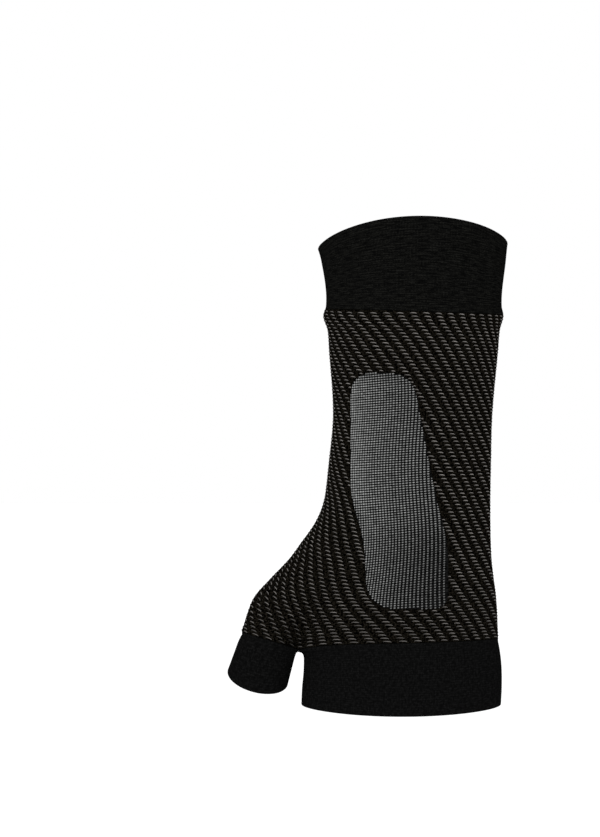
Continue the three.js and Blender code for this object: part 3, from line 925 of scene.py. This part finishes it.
def palm_tube(share):
    """Ellipses of the palm at shares of the hand cuff's height."""
    left, right, depth, back = sections(PALM, BODY_END["z"] + share * (HAND_RIM["z"] - BODY_END["z"]))
    return (left + right) / 2, back, (right - left) / 2, depth


def hand_rim_height(points):
    """Height of the hand cuff's rim over points."""
    return edge_height(HAND_RIM, points)


hand_height = BODY_END["z"] - HAND_RIM["z"]
hand_outside = fork_cuff(1, HAND_WALES, hand_height, palm_tube, hand_rim_height)
hand_cuff = plain_cuff("hand_cuff_knit", hand_outside, JOINT_SWELL, CUFF_WALL / 2)

# The forearm cuff's nylon knitted under even tension, which is as matt and black but has no rows.
even_knit = knit_material("black_nylon_even_knit", 0x080808, 0x141414, 0.12 * MM, (1.6, 1.6))
hand_cuff.data.materials.append(even_knit)
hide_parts("hand_cuff")
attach(hand_cuff, "root")

# Thumb cuff
# The short plain band round the thumb, in the same double knit. It leans out from the fork and ends in a
# folded rim that lies on the slant.
THUMB_WALES = 72

# Ellipses at the fork and the rim: x and y of the middle, half width and half depth. Then the rim's height
# and its slopes to +X and +Y.
THUMB_TUBE = MM * np.array([-60.5, 3.2, 12, 13])
THUMB_RIM = MM * np.array([-65.6, 8.5, 13.1, 12.4])
THUMB_RIM_Z = -95.2 * MM
THUMB_RIM_SLOPE = np.array([-0.2, 0.4])


def thumb_tube(share):
    """Ellipses of the thumb at shares of its cuff's height, mixed from those at the fork and the rim."""
    return (THUMB_TUBE + share[:, None] * (THUMB_RIM - THUMB_TUBE)).T


def thumb_rim_height(points):
    """Height of the thumb cuff's rim, a slanted plane."""
    return THUMB_RIM_Z + (points[:, :2] - THUMB_RIM[:2]) @ THUMB_RIM_SLOPE


thumb_outside = fork_cuff(-1, THUMB_WALES, BODY_END["z"] - THUMB_RIM_Z, thumb_tube, thumb_rim_height)
thumb_cuff = plain_cuff("thumb_cuff_knit", thumb_outside, JOINT_SWELL, CUFF_WALL / 2)
thumb_cuff.data.materials.append(even_knit)
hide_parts("thumb_cuff")
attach(thumb_cuff, "root")

# Studio
# A pale floor well below the sleeve, an even white surround, and one broad soft lamp from the front and
# above, with its spread and turn in degrees.
FLOOR_Z = -0.24
FLOOR_HALF = 6
LAMP_STRENGTH = 1.2
LAMP_SPREAD = 70
LAMP_TURN = (50, 0, -25)
floor_points = np.array([(-1, -1, 0), (1, -1, 0), (1, 1, 0), (-1, 1, 0)]) * FLOOR_HALF + (0, 0, FLOOR_Z)
floor = mesh_object("floor", floor_points, [np.array([[0, 1, 2, 3]])])

# Matt white emulsion paint, rolled on, which takes only a faint shadow.
floor_paint, _, floor_shader = new_material("white_painted_floor")
floor_shader.inputs["Base Color"].default_value = linear(0xF6F6F6)
floor_shader.inputs["Roughness"].default_value = 0.9
floor.data.materials.append(floor_paint)

surround = bpy.data.worlds.new("white_surround")
surround.use_nodes = True
surround.node_tree.nodes["Background"].inputs["Color"].default_value = linear(0xFFFFFF)
surround.node_tree.nodes["Background"].inputs["Strength"].default_value = 1.0
bpy.context.scene.world = surround

softbox = bpy.data.objects.new("softbox", bpy.data.lights.new("softbox", "SUN"))
softbox.data.energy = LAMP_STRENGTH
softbox.data.angle = np.radians(LAMP_SPREAD)
softbox.rotation_euler = np.radians(LAMP_TURN)
bpy.context.scene.collection.objects.link(softbox)

# Camera
# Level, a metre in front of the sleeve's axis, a little above the wrist and to the thumb's side of it. Its
# lens shows this much of the sleeve in a pixel of a picture of this height.
CAMERA_X = -47.3 * MM
CAMERA_Z = 17.8 * MM
DISTANCE = 1
PIXEL = 0.43 * MM
IMAGE_HEIGHT = 837
SENSOR = 36
camera = bpy.data.objects.new("camera", bpy.data.cameras.new("camera"))
camera.location = (CAMERA_X, -DISTANCE, CAMERA_Z)
camera.rotation_euler = (np.pi / 2, 0, 0)
camera.data.sensor_width = SENSOR
camera.data.lens = SENSOR * DISTANCE / (IMAGE_HEIGHT * PIXEL)
bpy.context.scene.collection.objects.link(camera)
bpy.context.scene.camera = camera
bpy.context.scene.view_settings.view_transform = "Standard"
